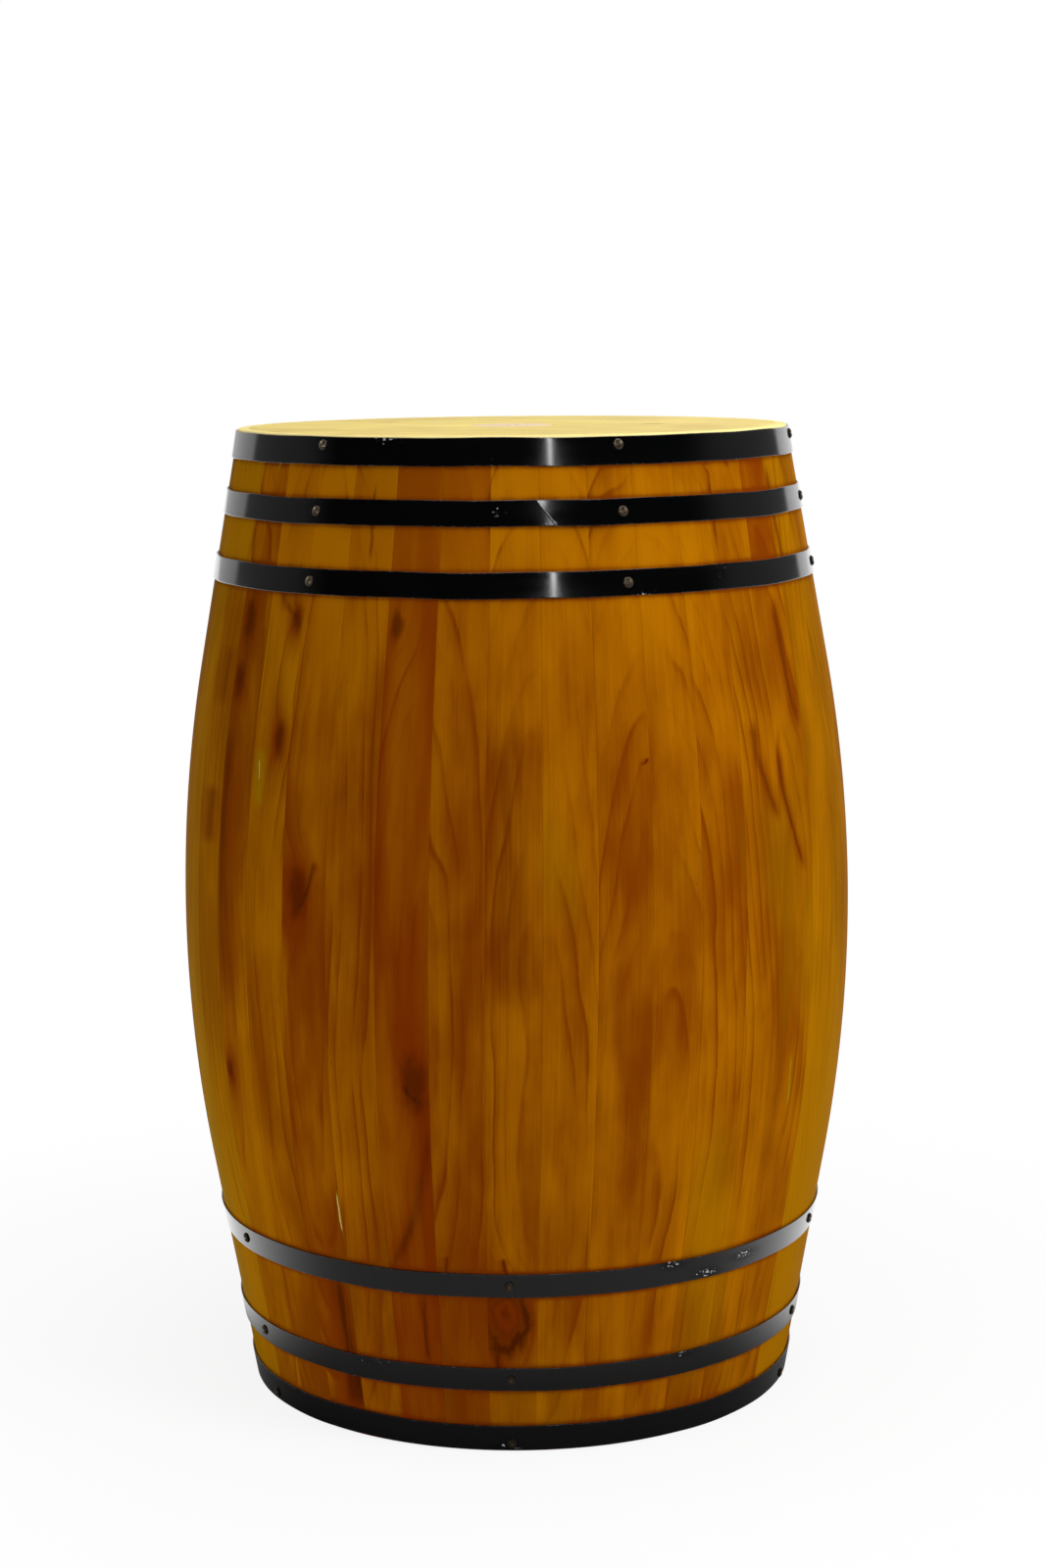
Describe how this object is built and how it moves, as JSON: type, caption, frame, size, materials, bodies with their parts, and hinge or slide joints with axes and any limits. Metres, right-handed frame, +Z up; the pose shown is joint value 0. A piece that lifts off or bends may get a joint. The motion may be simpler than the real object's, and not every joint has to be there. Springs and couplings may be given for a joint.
{
  "type": "wooden barrel",
  "caption": "Bulging wooden cask of narrow varnished staves held by nailed black strap hoops, with flush jointed heads and a tapered bung that pulls out of the top.",
  "frame": {"origin": "centre of the bottom rim, on the surface that the cask stands on", "axes": "+Z up along the cask's axis, -Y out of the front, where a hoop's lap shows"},
  "size_m": [0.626, 0.626, 0.9],
  "materials": {
    "stave_wood": "amber varnish, glossy",
    "head_wood": "clear varnish, glossy",
    "bung_wood": "pale sanded wood",
    "tongue_wood": "bare wood",
    "hoop_paint": "black paint, glossy, scuffed at the edges",
    "nail_bronze": "antiqued"
  },
  "bodies": {
    "cask": {"stave_01": "stave_wood", "stave_02": "stave_wood", "stave_03": "stave_wood", "stave_04": "stave_wood", "stave_05": "stave_wood", "stave_06": "stave_wood", "stave_07": "stave_wood", "stave_08": "stave_wood", "stave_09": "stave_wood", "stave_10": "stave_wood", "stave_11": "stave_wood", "stave_12": "stave_wood", "stave_13": "stave_wood", "stave_14": "stave_wood", "stave_15": "stave_wood", "stave_16": "stave_wood", "stave_17": "stave_wood", "stave_18": "stave_wood", "stave_19": "stave_wood", "stave_20": "stave_wood", "stave_21": "stave_wood", "stave_22": "stave_wood", "stave_23": "stave_wood", "stave_24": "stave_wood", "stave_25": "stave_wood", "stave_26": "stave_wood", "stave_27": "stave_wood", "stave_28": "stave_wood", "stave_29": "stave_wood", "stave_30": "stave_wood", "stave_31": "stave_wood", "stave_32": "stave_wood", "stave_33": "stave_wood", "stave_34": "stave_wood", "stave_35": "stave_wood", "stave_36": "stave_wood", "stave_37": "stave_wood", "stave_38": "stave_wood", "stave_39": "stave_wood", "stave_40": "stave_wood", "upper_head_hoop": "hoop_paint", "upper_quarter_hoop": "hoop_paint", "upper_bilge_hoop": "hoop_paint", "lower_head_hoop": "hoop_paint", "lower_quarter_hoop": "hoop_paint", "lower_bilge_hoop": "hoop_paint", "upper_hoop_nails": "nail_bronze", "lower_hoop_nails": "nail_bronze", "top_head_board_1": "head_wood", "top_head_board_2": "head_wood", "top_head_board_3": "head_wood", "top_head_board_4": "head_wood", "top_head_board_5": "head_wood", "bottom_head_board_1": "head_wood", "bottom_head_board_2": "head_wood", "bottom_head_board_3": "head_wood", "bottom_head_board_4": "head_wood", "bottom_head_board_5": "head_wood", "head_tongues": "tongue_wood"},
    "bung": {"bung": "bung_wood"}
  },
  "joints": [
    {"name": "bung_pull", "type": "slide", "parent": "cask", "child": "bung", "axis": [0, 0, 1], "range_m": [0, 0.08]}
  ]
}
